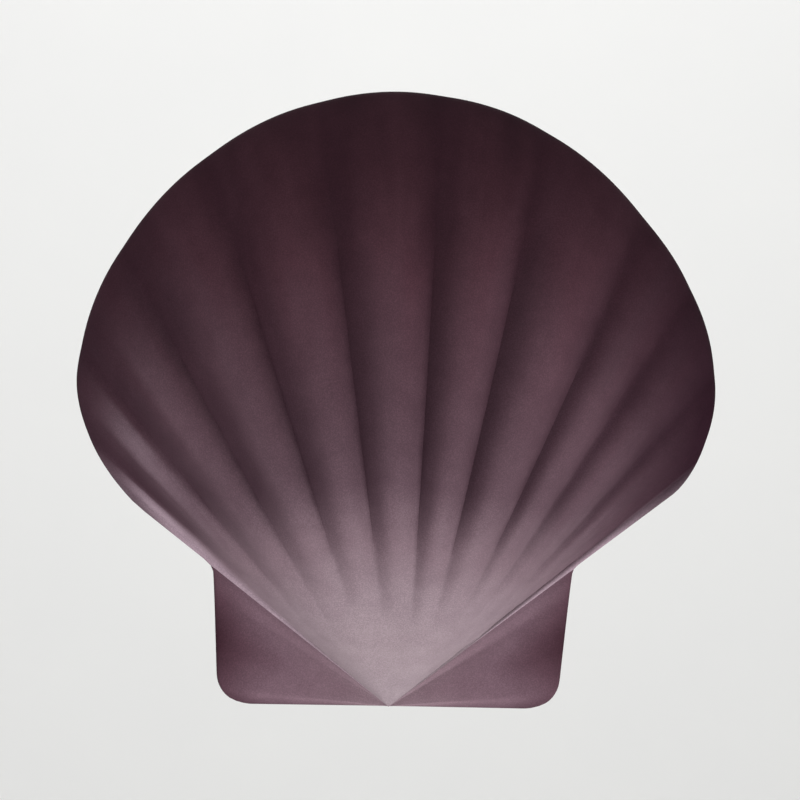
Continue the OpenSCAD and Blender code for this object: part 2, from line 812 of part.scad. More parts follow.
module lamp_head() {
    color([0.55, 0.56, 0.58])
        difference() {
            translate([0, -lamp_y, 0])
                union() {
                    translate([0, 0, lamp_z]) cylinder(r = lamp_r, h = lamp_h);
                    translate([0, 0, flange_z - 2]) cylinder(r = flange_r, h = lamp_top - flange_z + 2);
                    for (i = [0:fin_count - 1])
                        translate([0, 0, lamp_z + 5 + i * 2.4 * fin_t]) cylinder(r = fin_r, h = fin_t);
                }
            bar_z(0, lamp_y, cup_r, board_z, lamp_top + through);
            bar_z(0, lamp_y, lens_r + running, flange_z, lamp_top + through);
            bar_z(0, wire_y, wire_hole_r, lamp_z - through, board_z + through);
            for (side = [-1, 1]) {
                bar_z(side * lamp_screw_x, lamp_y, lamp_screw_r + running, lamp_z - through, board_z - 0.8);
                bar_z(side * board_screw_at, lamp_y - board_screw_at, board_screw_r + running, board_z - 2.6,
                    board_z + through);
            }
            for (i = [0:2])
                translate([0, -lamp_y, 0]) rotate([0, 0, 90 + 120 * i]) translate([bezel_pitch_r, 0, flange_z])
                    cylinder(r = bezel_screw_r + running, h = lamp_top - flange_z + through);
        }
}

module lamp_head_screws() {
    under = box_top - box_wall;
    color([0.75, 0.75, 0.76])
        for (side = [-1, 1])
            union() {
                bar_z(side * lamp_screw_x, lamp_y, lamp_screw_r, under, board_z - 1);
                bar_z(side * lamp_screw_x, lamp_y, lamp_screw_r + 1.2, under - 2, under);
            }
}

module led_board() {
    color([0.93, 0.93, 0.9])
        difference() {
            bar_z(0, lamp_y, board_r, board_z, board_z + board_t);
            bar_z(0, wire_y, wire_hole_r - 0.6, board_z - through, board_z + board_t + through);
            for (side = [-1, 1])
                bar_z(side * board_screw_at, lamp_y - board_screw_at, board_screw_r + clear, board_z - through,
                    board_z + board_t + through);
        }
}

module board_screws() {
    color([0.75, 0.75, 0.76])
        for (side = [-1, 1])
            union() {
                bar_z(side * board_screw_at, lamp_y - board_screw_at, board_screw_r, board_z - 2.4, board_z + board_t);
                bar_z(side * board_screw_at, lamp_y - board_screw_at, board_screw_r + 0.8, board_z + board_t,
                    board_z + board_t + 0.9);
            }
}

module led_chip() {
    color([0.95, 0.85, 0.35]) {
        translate([-chip_w / 2, -lamp_y - chip_w / 2, board_z + board_t]) cube([chip_w, chip_w, chip_t - 0.4]);
        bar_z(0, lamp_y, lit_r, board_z + board_t + chip_t - 0.4, chip_top);
    }
}

module reflector() {
    low_r = lit_r + 0.6;
    color([0.9, 0.9, 0.92])
        translate([0, -lamp_y, 0])
            rotate_extrude()
                polygon([
                    [low_r, chip_top + 0.2], [low_r + 1, chip_top + 0.2],
                    [(low_r + mouth_r) / 2 + 2.4, (chip_top + flange_z) / 2],
                    [mouth_r + 1, flange_z], [lens_r, flange_z], [lens_r, flange_z + reflector_t],
                    [mouth_r, flange_z + reflector_t], [(low_r + mouth_r) / 2 + 1.4, (chip_top + flange_z) / 2]
                ]);
}

module lens_gasket() {
    color([0.12, 0.12, 0.13])
        difference() {
            bar_z(0, lamp_y, lens_r, lens_z - lens_gasket_t, lens_z);
            bar_z(0, lamp_y, mouth_r, lens_z - lens_gasket_t - through, lens_z + through);
        }
}

module glass_lens() {
    color([0.85, 0.93, 0.95]) bar_z(0, lamp_y, lens_r, lens_z, lamp_top);
}

module bezel_ring() {
    color([0.3, 0.3, 0.32])
        difference() {
            bar_z(0, lamp_y, flange_r, lamp_top, lamp_top + bezel_t);
            bar_z(0, lamp_y, mouth_r, lamp_top - through, lamp_top + bezel_t + through);
            for (i = [0:2])
                translate([0, -lamp_y, 0]) rotate([0, 0, 90 + 120 * i])
                    translate([bezel_pitch_r, 0, lamp_top - through])
                        cylinder(r = bezel_screw_r + clear, h = bezel_t + 2 * through);
        }
}

module bezel_screws() {
    color([0.75, 0.75, 0.76])
        for (i = [0:2])
            translate([0, -lamp_y, 0]) rotate([0, 0, 90 + 120 * i]) translate([bezel_pitch_r, 0, 0])
                difference() {
                    union() {
                        translate([0, 0, flange_z + 0.5])
                            cylinder(r = bezel_screw_r, h = lamp_top + bezel_t - flange_z - 0.5);
                        translate([0, 0, lamp_top + bezel_t]) cylinder(r = bezel_head_r, h = 1.6);
                    }
                    translate([-bezel_head_r, -0.3, lamp_top + bezel_t + 0.8]) cube([2 * bezel_head_r, 0.6, 1]);
                }
}

// The shade's fixings

module at_studs() {
    for (side = [-1, 1])
        for (z = [bridge_z - stud_pitch / 2, bridge_z + stud_pitch / 2])
            translate([side * stud_x, 0, z]) children();
}

module bridge_plate() {
    end_w = stud_x + stud_edge;
    color([0.62, 0.64, 0.66])
        difference() {
            slab(bridge_y, bridge_y + bridge_t)
                translate([-end_w, bridge_z - bridge_h / 2]) square([2 * end_w, bridge_h]);
            at_studs() bar_y(0, 0, stud_tip_r + clear, bridge_y - through, bridge_y + bridge_t + through);
            for (side = [-1, 1])
                bar_y(side * pin_x, bridge_z, bush_r + running, bridge_y - through, bridge_y + bridge_t + through);
        }
}

module bridge_bushes() {
    color([0.9, 0.9, 0.86])
        for (side = [-1, 1])
            difference() {
                union() {
                    bar_y(side * pin_x, bridge_z, bush_r, bridge_y, bridge_y + bridge_t + 1);
                    bar_y(side * pin_x, bridge_z, bush_r + 1.6, bridge_y - 1.5, bridge_y);
                }
                bar_y(side * pin_x, bridge_z, pin_r + running, bridge_y - 2 * through, bridge_y + bridge_t + 2 * through);
            }
}

module shell_studs() {
    color([0.78, 0.66, 0.36])
        for (side = [-1, 1])
            for (z = [bridge_z - stud_pitch / 2, bridge_z + stud_pitch / 2])
                union() {
                    far = stud_reach(side * stud_x, z);
                    bar_y(side * stud_x, z, stud_tip_r, bridge_y - nut_t - 1, bridge_y + bridge_t);
                    translate([side * stud_x, -bridge_y - bridge_t, z])
                        rotate([90, 0, 0]) cylinder(d = stud_across, h = far - bridge_y - bridge_t, $fn = 6);
                }
}

module stud_nuts() {
    color([0.75, 0.75, 0.76])
        at_studs()
            difference() {
                translate([0, -bridge_y + nut_t, 0]) rotate([90, 0, 0]) cylinder(d = stud_across, h = nut_t, $fn = 6);
                bar_y(0, 0, stud_tip_r + running, bridge_y - nut_t - through, bridge_y + through);
            }
}

module foot_bracket() {
    color([0.62, 0.64, 0.66])
        difference() {
            union() {
                translate([-foot_w / 2, -flange_y, bracket_top - foot_t]) cube([foot_w, foot_t, web_h + foot_t]);
                translate([-foot_w / 2, -flange_y, bracket_top - foot_t])
                    cube([foot_w, flange_y - plate_back - 1, foot_t]);
            }
            for (side = [-1, 1]) {
                bar_y(side * foot_x, foot_z, box_screw_r + clear, foot_y - through, flange_y + through);
                bar_z(side * lug_x, lug_screw_y, slot_r, bracket_top - foot_t - through, bracket_top + through);
                translate([side * lug_x - slot_r, -lug_screw_y, bracket_top - foot_t - through])
                    cube([2 * slot_r, lug_screw_y, foot_t + 2 * through]);
            }
        }
}

// Distance from the wall of an ear's hollow side
function ear_hollow(z) = base_y(z) - ear_step - shell_wall;

module foot_inserts() {
    color([0.78, 0.66, 0.36])
        for (side = [-1, 1])
            difference() {
                bar_y(side * foot_x, foot_z, 3.5, flange_y, ear_hollow(foot_z) + cast_in);
                bar_y(side * foot_x, foot_z, box_screw_r + running, flange_y - through, ear_hollow(foot_z));
            }
}

module foot_screws() {
    color([0.75, 0.75, 0.76])
        for (side = [-1, 1])
            union() {
                bar_y(side * foot_x, foot_z, box_screw_r, foot_y, ear_hollow(foot_z) - 1);
                bar_y(side * foot_x, foot_z, box_head_r, foot_y - 2, foot_y);
            }
}

module thumbscrew(side) {
    color([0.8, 0.8, 0.82])
        translate([side * lug_x, -lug_screw_y, thumb_top]) {
            cylinder(r = thumb_r, h = bracket_top - thumb_top + plate_t + seat + 1.5);
            difference() {
                translate([0, 0, -thumb_knob_h]) cylinder(r = thumb_knob_r, h = thumb_knob_h);
                for (i = [0:11])
                    rotate([0, 0, 30 * i]) translate([thumb_knob_r + 0.5, 0, -thumb_knob_h - through])
                        cylinder(r = 0.9, h = thumb_knob_h, $fn = 16);
            }
        }
}

module thumbscrew_left() {
    thumbscrew(-1);
}

module thumbscrew_right() {
    thumbscrew(1);
}

wall_gasket();
wall_plate();
cable_grommet();
earth_stud();
earth_washer();
earth_nut();
terminal_block();
terminal_screws();
earth_lead();
housing_gasket();
housing();
housing_screws();
led_driver();
driver_screws();
supply_leads();
led_leads();
dowel_pins();
lamp_head();
lamp_head_screws();
led_board();
board_screws();
led_chip();
reflector();
lens_gasket();
glass_lens();
bezel_ring();
bezel_screws();
shell_shade();
bridge_plate();
bridge_bushes();
shell_studs();
stud_nuts();
foot_bracket();
foot_inserts();
foot_screws();
thumbscrew_left();
thumbscrew_right();
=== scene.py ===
import json
import math

import bpy
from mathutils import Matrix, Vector

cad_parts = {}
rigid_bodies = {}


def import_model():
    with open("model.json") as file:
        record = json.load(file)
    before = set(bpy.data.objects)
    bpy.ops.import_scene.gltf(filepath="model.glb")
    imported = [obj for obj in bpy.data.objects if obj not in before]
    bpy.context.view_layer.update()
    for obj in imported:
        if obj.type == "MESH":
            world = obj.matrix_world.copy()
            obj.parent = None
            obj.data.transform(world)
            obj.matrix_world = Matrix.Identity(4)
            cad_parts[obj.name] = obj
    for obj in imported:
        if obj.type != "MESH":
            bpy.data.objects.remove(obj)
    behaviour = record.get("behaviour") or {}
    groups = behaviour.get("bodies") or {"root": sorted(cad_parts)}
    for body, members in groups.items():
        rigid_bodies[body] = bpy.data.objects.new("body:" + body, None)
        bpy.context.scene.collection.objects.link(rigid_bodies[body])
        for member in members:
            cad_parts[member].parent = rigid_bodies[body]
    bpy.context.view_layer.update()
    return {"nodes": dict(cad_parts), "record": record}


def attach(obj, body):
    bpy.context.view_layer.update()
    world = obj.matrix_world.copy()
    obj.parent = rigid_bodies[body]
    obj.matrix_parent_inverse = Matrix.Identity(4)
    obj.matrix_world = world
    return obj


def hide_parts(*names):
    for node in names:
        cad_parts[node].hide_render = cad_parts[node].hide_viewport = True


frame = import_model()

mm = 0.001
print("frame loaded:", len(frame["nodes"]), "nodes")


# selecting, joining and finishing

def deselectAll():
    if bpy.context.object and bpy.context.object.mode != "OBJECT":
        bpy.ops.object.mode_set(mode="OBJECT")
    bpy.ops.object.select_all(action="DESELECT")


def makeActive(piece):
    deselectAll()
    piece.select_set(True)
    bpy.context.view_layer.objects.active = piece


def joinPieces(pieces, name):
    deselectAll()
    for piece in pieces:
        piece.select_set(True)
    bpy.context.view_layer.objects.active = pieces[0]
    bpy.ops.object.join()
    pieces[0].name = name
    pieces[0].data.name = name
    return pieces[0]


def finishPiece(piece, body, material, replaces, angle):
    makeActive(piece)
    bpy.ops.object.transform_apply(location=True, rotation=True, scale=True)
    bpy.ops.object.shade_smooth_by_angle(angle=math.radians(angle))
    piece.data.materials.clear()
    piece.data.materials.append(material)
    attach(piece, body)
    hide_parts(*replaces)


# materials

class Wire:
    def __init__(self, paint, socket):
        self.paint = paint
        self.socket = socket

    def math(self, operation, a, b):
        return self.paint.node("Math", {"operation": operation}, {0: a, 1: b})["Value"]

    def __add__(self, other):
        return self.math("ADD", self, other)

    def __radd__(self, other):
        return self.math("ADD", other, self)

    def __sub__(self, other):
        return self.math("SUBTRACT", self, other)

    def __mul__(self, other):
        return self.math("MULTIPLY", self, other)

    def __lt__(self, other):
        return self.math("LESS_THAN", self, other)

    def __abs__(self):
        return self.math("ABSOLUTE", self, 0.0)

    def fraction(self):
        return self.math("FRACT", self, 0.0)


class Paint:
    def __init__(self, name):
        self.material = bpy.data.materials.new(name)
        self.material.use_nodes = True
        self.tree = self.material.node_tree
        self.tree.nodes.clear()
        coordinates = self.node("TexCoord")
        self.place = coordinates["Object"]
        self.unrolled = coordinates["UV"]

    def node(self, kind, settings=None, inputs=None):
        made = self.tree.nodes.new("ShaderNode" + kind)
        for key, value in (settings or {}).items():
            if key == "stops":
                ramp = made.color_ramp
                while len(ramp.elements) < len(value):
                    ramp.elements.new(1.0)
                for element, (position, color) in zip(ramp.elements, value):
                    element.position = position
                    element.color = (*color, 1)
            else:
                setattr(made, key, value)
        for key, value in (inputs or {}).items():
            if isinstance(value, Wire):
                self.tree.links.new(value.socket, made.inputs[key])
            else:
                made.inputs[key].default_value = value
        return {socket.name: Wire(self, socket) for socket in made.outputs if socket.enabled}

    def noise(self, size, detail=3, roughness=0.55, place=None):
        settings = {"noise_dimensions": "3D"}
        inputs = {"Vector": place or self.place, "Scale": 1 / (size * mm), "Detail": detail,
                  "Roughness": roughness}
        return self.node("TexNoise", settings, inputs)["Fac"]

    def scaled(self, place, scale):
        return self.node("Mapping", {"vector_type": "POINT"}, {"Vector": place, "Scale": scale})["Vector"]

    def axes(self, place):
        return self.node("SeparateXYZ", None, {"Vector": place})

    def ramp(self, stops, factor):
        return self.node("ValToRGB", {"stops": stops}, {"Fac": factor})["Color"]

    def spread(self, value, low, high, toLow=0.0, toHigh=1.0):
        inputs = {"Value": value, "From Min": low, "From Max": high, "To Min": toLow, "To Max": toHigh}
        return self.node("MapRange", {"clamp": True}, inputs)["Result"]

    def mix(self, factor, a, b, blend="MIX"):
        made = self.tree.nodes.new("ShaderNodeMix")
        made.data_type = "RGBA"
        made.blend_type = blend
        made.clamp_result = True
        for socket, value in ((made.inputs[0], factor), (made.inputs[6], a), (made.inputs[7], b)):
            if isinstance(value, Wire):
                self.tree.links.new(value.socket, socket)
            elif isinstance(value, (int, float)):
                socket.default_value = value
            else:
                socket.default_value = (*value, 1)
        return Wire(self, made.outputs[2])

    def bump(self, height, strength, depth, under=None):
        inputs = {"Height": height, "Strength": strength, "Distance": depth * mm}
        if under:
            inputs["Normal"] = under
        return self.node("Bump", None, inputs)["Normal"]

    def finish(self, color, roughness, normal=None, **uniform):
        inputs = {"Base Color": color if isinstance(color, Wire) else (*color, 1), "Roughness": roughness}
        if normal:
            inputs["Normal"] = normal
        inputs.update({key.replace("_", " "): value for key, value in uniform.items()})
        shader = self.node("BsdfPrincipled", None, inputs)["BSDF"]
        self.node("OutputMaterial", None, {"Surface": shader})
        return self.material


# shares of noise: a patch starts at the first value and is full at the second
patchRange = (0.3, 0.7)


def umboDistance(p, look):
    # seen from the front, so the depth doesn't count
    shift = (-look["umbo"][0] * mm, 0, -look["umbo"][1] * mm)
    fromUmbo = p.node("Mapping", {"vector_type": "POINT"}, {"Vector": p.place, "Location": shift})["Vector"]
    parts = p.axes(fromUmbo)
    flat = p.node("CombineXYZ", None, {"X": parts["X"], "Y": 0.0, "Z": parts["Z"]})["Vector"]
    return p.node("VectorMath", {"operation": "LENGTH"}, {0: flat})["Value"]


def grooveShadeFeather(p, look, uv):
    # the shape of the painted groove shade across each rib: crisp on each groove's left near the umbo, soft
    # on both sides further up
    across = (uv["X"] * look["ribs"]).fraction()
    across = across + (p.noise(look["waverSize"], detail=2) - 0.5) * look["waver"]
    crisp = p.ramp(look["grooveLow"], across)
    soft = p.ramp(look["grooveHigh"], across)
    return p.mix(p.spread(uv["Y"], *look["grooveSoftens"]), crisp, soft)


def grooveShadePainted(p, look, uv, feather, aside, distance):
    # painted shade in the grooves, none of it near the umbo or at the fan's two edges
    later = p.spread(aside, *look["laterOver"], 0, look["laterAside"] * mm)
    starts = p.spread(distance - later, look["grooveFrom"] * mm, look["grooveFull"] * mm)
    fades = p.spread(uv["Y"], look["fadeFrom"], 1, 1, look["fadeEnd"])
    edges = p.spread(uv["X"], *look["leftUnshaded"]) * p.spread(uv["X"], *look["rightUnshaded"], 1, 0)
    return feather * starts * fades * edges * look["grooveShade"]


def rimPaintedShade(p, look, uv, aside):
    # painted shade: darker towards the rim at the fan's sides, and darker over the fan's right side
    rimward = p.spread(uv["Y"], look["rimFrom"], look["rimFull"]) * p.spread(aside, *look["rimAside"])
    rightward = p.spread(uv["X"], *look["rightOver"]) * p.spread(uv["Y"], *look["rightUp"])
    return rimward * look["rimShade"] + rightward * look["rightShade"]


def ombreAndPaintedShade(p, look, uv, aside, distance, cloud):
    # pale at the umbo, dark towards the rim, with streaks along the ribs; the fade is partly the shell's
    # ombré colour and partly painted shade for light that falls from below
    alongRibs = p.scaled(p.unrolled, look["streakScale"])
    streaks = p.node("TexNoise", {"noise_dimensions": "3D"}, {"Vector": alongRibs, "Scale": 1.0})["Fac"]
    nearer = p.spread(aside, *look["nearerOver"], 1, look["sidesNearer"])
    reach = distance * nearer * (1 / (look["reach"] * mm)) + (cloud - 0.5) * look["cloudShare"]
    reach = reach + (streaks - 0.5) * p.spread(uv["Y"], *look["streakUp"]) * look["streakShare"]
    return p.ramp(look["ombreAndShade"], reach)


def paintedHighlights(p, look, uv, feather):
    # painted highlights: the fan's straight edges are paler, and so are the crests of the ribs at its lower
    # left
    lips = p.spread(uv["X"], *look["lipRight"]) + p.spread(uv["X"], *look["lipLeft"], 1, 0)
    crests = p.spread(uv["X"], *look["crestOver"], 1, 0) * p.spread(uv["Y"], *look["crestUp"])
    crests = crests * p.spread(feather, 0, look["crestDepth"], 1, 0)
    crests = crests * p.spread(uv["Y"], *look["crestFades"], 1, 0)
    highlight = lips * look["lipShare"] + crests * look["crestShare"]
    return highlight * p.spread(uv["Y"], *look["highlightFades"], 1, look["highlightEnd"])


def earTone(p, look, uv, cloud):
    # out runs from 0 at the fold to 1 at the ear's bottom edge; the ear darkens outwards, partly its own
    # colour and partly painted shade
    foldGap = (earStart["right"] - earStart["left"] - 1) / 2
    out = abs(uv["X"] - (earStart["right"] - foldGap)) - foldGap
    # painted light: paler near the fold and low on the ear
    paintedLight = p.spread(out, *look["lowOver"], 0, look["lowPaler"])
    paintedLight = paintedLight + p.spread(out, *look["foldOver"], look["foldPaler"], 0)
    tone = p.ramp(look["ears"], uv["Y"] + (cloud - 0.5) * look["earCloud"] - paintedLight)
    # painted shade along the fold and along the ear's bottom edge
    shade = p.spread(out, 0, look["foldWidth"], look["foldShade"], 0)
    shade = shade + p.spread(out, look["lowFrom"], 1) * look["lowEdgeShade"]
    return p.mix(shade, tone, look["paintedShadeColor"])


def sandyCoat(p, look, tone):
    mottle = p.spread(p.noise(look["mottleSize"], detail=4), *patchRange) * look["mottle"]
    mottled = p.mix(mottle, tone, look["mottleColor"], "MULTIPLY")
    grain = p.noise(look["grainSize"], detail=2, roughness=0.7)
    paler = p.mix(1.0, mottled, look["speckleTint"], "MULTIPLY")
    speckled = p.mix(p.spread(grain, *look["speckleRange"]) * look["speckle"], mottled, paler)
    coarse = p.noise(look["grainSize"] * look["coarser"], detail=3)
    normal = p.bump(coarse, look["bump"], look["coarseDepth"])
    normal = p.bump(grain, look["bump"], look["grainDepth"], normal)
    roughness = look["roughness"] + (grain - 0.5) * look["roughnessShare"]
    return p.finish(speckled, roughness, normal, Specular_IOR_Level=look["specular"])


def shellPaint(look):
    # sandy matt paint with painted shade in the grooves and at the rim and painted highlights at the edges,
    # the ears apart from the fan
    p = Paint("shellPaint")
    uv = p.axes(p.unrolled)
    aside = abs(uv["X"] - look["fanMiddle"])
    distance = umboDistance(p, look)
    cloud = p.noise(look["cloudSize"], detail=2)
    feather = grooveShadeFeather(p, look, uv)
    fan = ombreAndPaintedShade(p, look, uv, aside, distance, cloud)
    # painted shade in the grooves
    fan = p.mix(grooveShadePainted(p, look, uv, feather, aside, distance), fan, look["paintedShadeColor"])
    # painted shade at the rim and over the right side
    fan = p.mix(rimPaintedShade(p, look, uv, aside), fan, look["paintedShadeColor"])
    # painted highlights on the fan's edges and lower-left crests
    fan = p.mix(paintedHighlights(p, look, uv, feather), fan, look["highlightColor"])
    isFan = uv["X"] < (1 + earStart["left"]) / 2
    return sandyCoat(p, look, p.mix(isFan, earTone(p, look, uv, cloud), fan))


metalGrain = {"dullShare": 0.5, "bump": 0.25, "depth": 0.02, "patchRoughness": 0.12, "lineRoughness": 0.2}
coatGrain = {"depth": 0.08, "roughnessShare": 0.25}


def metalPaint(name, look):
    # bare or plated metal: fine scratches and dull patches
    p = Paint(name)
    patches = p.spread(p.noise(look["patchSize"], detail=4), *patchRange)
    lines = p.noise(look["lineSize"], detail=3, roughness=0.7, place=p.scaled(p.place, look["brush"]))
    color = p.mix(patches * metalGrain["dullShare"], look["color"], look["dull"])
    normal = p.bump(lines, metalGrain["bump"], metalGrain["depth"])
    roughness = look["roughness"] + patches * metalGrain["patchRoughness"]
    roughness = roughness + (lines - 0.5) * metalGrain["lineRoughness"]
    return p.finish(color, roughness, normal, Metallic=1.0)


def coatPaint(name, look):
    # powder coat on a casting, or moulded plastic and rubber
    p = Paint(name)
    peel = p.noise(look["grainSize"], detail=3)
    patches = p.spread(p.noise(look["patchSize"], detail=3), *patchRange)
    color = p.mix(patches * look["patchShare"], look["color"], look["patchColor"])
    normal = p.bump(peel, look["bump"], coatGrain["depth"])
    roughness = look["roughness"] + (peel - 0.5) * coatGrain["roughnessShare"]
    return p.finish(color, roughness, normal)


def glassPaint(look):
    p = Paint("clearGlass")
    smear = p.spread(p.noise(look["smearSize"], detail=3), *look["smearRange"])
    roughness = look["roughness"] + smear * look["smearRoughness"]
    return p.finish(look["color"], roughness, None, Transmission_Weight=1.0, IOR=look["ior"])


def phosphorPaint(look):
    p = Paint("phosphorPaint")
    dots = p.noise(look["dotSize"], detail=2)
    color = p.mix(p.spread(dots, *look["dotRange"]), look["color"], look["dotColor"])
    roughness = look["roughness"] + (dots - 0.5) * look["roughnessShare"]
    return p.finish(color, roughness, p.bump(dots, look["bump"], look["dotDepth"]))


# the fan's UV runs from 0 to 1 across, and each ear's starts further right
earStart = {"left": 2, "right": 4}

# a pair is where a change begins and ends: over is 0 to 1 from the fan's left, up is 0 to 1 from the umbo;
# sizes and distances are in mm
shellLook = {
    "umbo": (-3, -60), "reach": 250, "fanMiddle": 0.48,
    # the fade's colours: partly ombré, partly painted shade
    "ombreAndShade": [
        (0.0, (0.170, 0.137, 0.149)),
        (0.11, (0.165, 0.129, 0.141)),
        (0.18, (0.150, 0.113, 0.127)),
        (0.27, (0.118, 0.080, 0.094)),
        (0.37, (0.072, 0.043, 0.054)),
        (0.5, (0.070, 0.038, 0.049)),
        (0.66, (0.070, 0.033, 0.044)),
        (0.75, (0.066, 0.028, 0.038)),
        (0.88, (0.041, 0.0155, 0.022)),
        (1.0, (0.020, 0.007, 0.011)),
    ],
    "nearerOver": (0.08, 0.42), "sidesNearer": 0.78, "cloudSize": 38, "cloudShare": 0.05,
    "streakScale": (26, 2.2, 1), "streakUp": (0.4, 0.7), "streakShare": 0.3,
    # the ears' fade outwards is partly their colour and partly painted shade
    "ears": [
        (0.0, (0.156, 0.110, 0.126)),
        (0.45, (0.117, 0.074, 0.090)),
        (0.7, (0.104, 0.063, 0.079)),
        (0.88, (0.057, 0.028, 0.038)),
        (1.0, (0.026, 0.009, 0.014)),
    ],
    # painted light near the fold and low on the ears, painted shade at the fold and bottom edge
    "earCloud": 0.1, "lowOver": (0.5, 0.85), "lowPaler": 0.12, "lowFrom": 0.88, "lowEdgeShade": 0.45,
    "foldOver": (0.05, 0.4), "foldPaler": 0.14, "foldWidth": 0.22, "foldShade": 0.14,
    # the painted groove shade: its colour, strength and shape across each rib
    "ribs": 12, "waverSize": 14, "waver": 0.12, "paintedShadeColor": (0.014, 0.004, 0.008), "grooveShade": 0.64,
    "grooveLow": [(0.0, (0.9, 0.9, 0.9)), (0.08, (1, 1, 1)), (0.22, (0.85, 0.85, 0.85)),
                  (0.42, (0.14, 0.14, 0.14)), (0.56, (0, 0, 0)), (0.92, (0, 0, 0)), (1.0, (0.7, 0.7, 0.7))],
    "grooveHigh": [(0.0, (1, 1, 1)), (0.14, (0.9, 0.9, 0.9)), (0.46, (0.08, 0.08, 0.08)), (0.6, (0, 0, 0)),
                   (0.76, (0.1, 0.1, 0.1)), (0.9, (0.6, 0.6, 0.6)), (1.0, (1, 1, 1))],
    "grooveSoftens": (0.32, 0.72), "grooveFrom": 34, "grooveFull": 84,
    "laterOver": (0.05, 0.4), "laterAside": 38, "fadeFrom": 0.75, "fadeEnd": 0.5,
    "leftUnshaded": (0.01, 0.08), "rightUnshaded": (0.855, 0.91),
    # painted shade at the rim and over the fan's right side
    "rimFrom": 0.62, "rimFull": 0.96, "rimAside": (0.06, 0.24), "rimShade": 0.62,
    "rightOver": (0.66, 0.88), "rightUp": (0.35, 0.75), "rightShade": 0.4,
    # painted highlights on the fan's edges and on the lower-left crests
    "lipLeft": (0.02, 0.07), "lipRight": (0.95, 0.995), "lipShare": 0.8,
    "crestOver": (0.08, 0.24), "crestUp": (0.5, 0.66), "crestFades": (0.8, 0.95), "crestDepth": 0.45,
    "crestShare": 0.42, "highlightColor": (0.24, 0.18, 0.21), "highlightFades": (0.72, 0.9), "highlightEnd": 0.3,
    "mottleSize": 9, "mottle": 0.3, "mottleColor": (0.62, 0.56, 0.6),
    "grainSize": 0.52, "speckleRange": (0.42, 0.66), "speckle": 0.7, "speckleTint": (1.5, 1.48, 1.5),
    "bump": 0.5, "coarser": 3.5, "coarseDepth": 0.12, "grainDepth": 0.09,
    "roughness": 0.62, "roughnessShare": 0.3, "specular": 0.05,
}
metals = {
    "zinc_steel": {"color": (0.60, 0.62, 0.64), "dull": (0.42, 0.43, 0.44), "roughness": 0.34,
                   "patchSize": 16, "lineSize": 1.6, "brush": (1, 1, 6)},
    "stainless": {"color": (0.66, 0.65, 0.63), "dull": (0.5, 0.49, 0.48), "roughness": 0.32,
                  "patchSize": 8, "lineSize": 1.0, "brush": (1, 1, 8)},
    "brass": {"color": (0.75, 0.55, 0.25), "dull": (0.5, 0.34, 0.15), "roughness": 0.28,
              "patchSize": 6, "lineSize": 0.8, "brush": (1, 6, 1)},
    "aluminium": {"color": (0.72, 0.73, 0.75), "dull": (0.56, 0.57, 0.59), "roughness": 0.38,
                  "patchSize": 12, "lineSize": 0.9, "brush": (1, 1, 9)},
    "mirror": {"color": (0.92, 0.92, 0.92), "dull": (0.84, 0.84, 0.85), "roughness": 0.06,
               "patchSize": 10, "lineSize": 2.0, "brush": (1, 1, 5)},
}
coats = {
    "black_paint": {"color": (0.035, 0.035, 0.038), "patchColor": (0.06, 0.06, 0.062), "roughness": 0.55,
                    "grainSize": 0.8, "patchSize": 24, "patchShare": 0.5, "bump": 0.5},
    "foam_rubber": {"color": (0.028, 0.028, 0.03), "patchColor": (0.05, 0.05, 0.052), "roughness": 0.9,
                    "grainSize": 1.1, "patchSize": 14, "patchShare": 0.5, "bump": 0.9},
    "black_rubber": {"color": (0.02, 0.02, 0.021), "patchColor": (0.04, 0.04, 0.04), "roughness": 0.68,
                     "grainSize": 0.7, "patchSize": 9, "patchShare": 0.4, "bump": 0.3},
    "cream_plastic": {"color": (0.68, 0.64, 0.52), "patchColor": (0.58, 0.53, 0.41), "roughness": 0.48,
                      "grainSize": 0.5, "patchSize": 9, "patchShare": 0.35, "bump": 0.2},
    "white_plastic": {"color": (0.7, 0.7, 0.67), "patchColor": (0.6, 0.6, 0.56), "roughness": 0.45,
                      "grainSize": 0.5, "patchSize": 12, "patchShare": 0.35, "bump": 0.2},
    "green_plastic": {"color": (0.16, 0.36, 0.05), "patchColor": (0.5, 0.45, 0.05), "roughness": 0.3,
                      "grainSize": 0.6, "patchSize": 3, "patchShare": 0.8, "bump": 0.15},
    "brown_plastic": {"color": (0.13, 0.055, 0.022), "patchColor": (0.17, 0.08, 0.035), "roughness": 0.3,
                      "grainSize": 0.6, "patchSize": 5, "patchShare": 0.5, "bump": 0.15},
    "red_plastic": {"color": (0.42, 0.02, 0.015), "patchColor": (0.5, 0.04, 0.03), "roughness": 0.3,
                    "grainSize": 0.6, "patchSize": 5, "patchShare": 0.5, "bump": 0.15},
}
glass = {"color": (0.94, 0.98, 0.98), "ior": 1.5, "roughness": 0.02,
         "smearSize": 14, "smearRange": (0.45, 0.8), "smearRoughness": 0.06}
phosphor = {"color": (0.85, 0.62, 0.08), "dotColor": (0.72, 0.5, 0.05), "dotSize": 0.5,
            "dotRange": (0.35, 0.65), "dotDepth": 0.03,
            "roughness": 0.35, "roughnessShare": 0.1, "bump": 0.2}
finishes = {name: metalPaint(name, look) for name, look in metals.items()}
finishes.update({name: coatPaint(name, look) for name, look in coats.items()})
finishes["glass"] = glassPaint(glass)
finishes["phosphor"] = phosphorPaint(phosphor)
finishes["shell_paint"] = shellPaint(shellLook)
print("materials mixed:", len(finishes))


# the scallop shell

